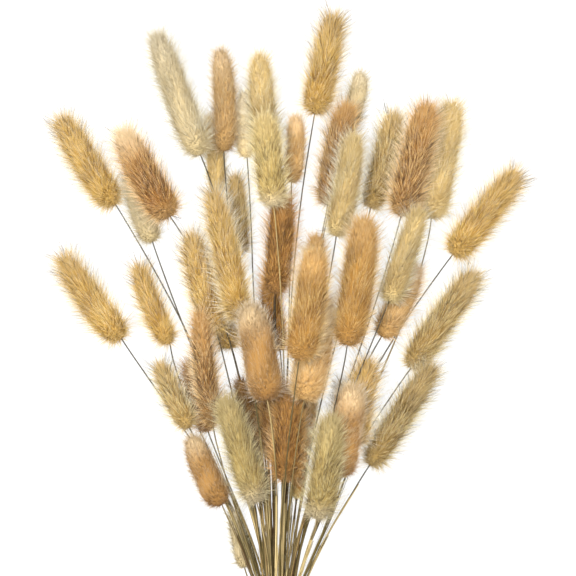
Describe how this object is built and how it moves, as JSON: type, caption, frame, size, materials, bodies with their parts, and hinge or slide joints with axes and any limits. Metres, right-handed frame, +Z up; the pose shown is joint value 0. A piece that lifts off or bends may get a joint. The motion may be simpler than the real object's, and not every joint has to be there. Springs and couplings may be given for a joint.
{
  "type": "bunch of dried bunny tail grass",
  "caption": "Loose fan of dried grass stems with soft hairy oval heads, tied with natural twine near the cut ends and lying on its side.",
  "frame": {"origin": "on the surface that the bunch lies on, under the middle of its box", "axes": "+Y from the cut stem ends to the heads, +Z up from the surface, +X to the right seen from above with the heads away from the viewer"},
  "size_m": [0.2616, 0.4174, 0.0679],
  "materials": {
    "golden_tail": "dry, soft and matte, with fine hairs",
    "brown_tail": "dry, soft and matte, with fine hairs",
    "cream_tail": "dry, soft and matte, with fine hairs",
    "tan_tail": "dry, soft and matte, with fine hairs",
    "olive_tail": "dry, soft and matte, with fine hairs",
    "peach_tail": "dry, soft and matte, with fine hairs",
    "twine": "dry natural fibre, matte"
  },
  "bodies": {
    "root": {"bunny_tail_01": "golden_tail", "bunny_tail_02": "brown_tail", "bunny_tail_03": "cream_tail", "bunny_tail_04": "cream_tail", "bunny_tail_05": "tan_tail", "bunny_tail_06": "tan_tail", "bunny_tail_07": "cream_tail", "bunny_tail_08": "golden_tail", "bunny_tail_09": "cream_tail", "bunny_tail_10": "tan_tail", "bunny_tail_11": "brown_tail", "bunny_tail_12": "brown_tail", "bunny_tail_13": "golden_tail", "bunny_tail_14": "cream_tail", "bunny_tail_15": "brown_tail", "bunny_tail_16": "golden_tail", "bunny_tail_17": "olive_tail", "bunny_tail_18": "brown_tail", "bunny_tail_19": "peach_tail", "bunny_tail_20": "golden_tail", "bunny_tail_21": "olive_tail", "bunny_tail_22": "olive_tail", "bunny_tail_23": "golden_tail", "bunny_tail_24": "brown_tail", "bunny_tail_25": "tan_tail", "bunny_tail_26": "tan_tail", "bunny_tail_27": "golden_tail", "bunny_tail_28": "brown_tail", "bunny_tail_29": "peach_tail", "bunny_tail_30": "tan_tail", "bunny_tail_31": "golden_tail", "bunny_tail_32": "olive_tail", "bunny_tail_33": "golden_tail", "bunny_tail_34": "golden_tail", "bunny_tail_35": "tan_tail", "bunny_tail_36": "olive_tail", "bunny_tail_37": "brown_tail", "bunny_tail_38": "tan_tail", "bunny_tail_39": "peach_tail", "bunny_tail_40": "golden_tail", "bunny_tail_41": "brown_tail", "bunny_tail_42": "olive_tail", "bunny_tail_43": "tan_tail", "bunny_tail_44": "brown_tail", "bunny_tail_45": "brown_tail", "bunny_tail_46": "brown_tail", "bunny_tail_47": "cream_tail", "bunny_tail_48": "peach_tail", "bunny_tail_49": "brown_tail", "bunny_tail_50": "olive_tail", "bunny_tail_51": "cream_tail", "twine_tie": "twine"}
  },
  "joints": []
}
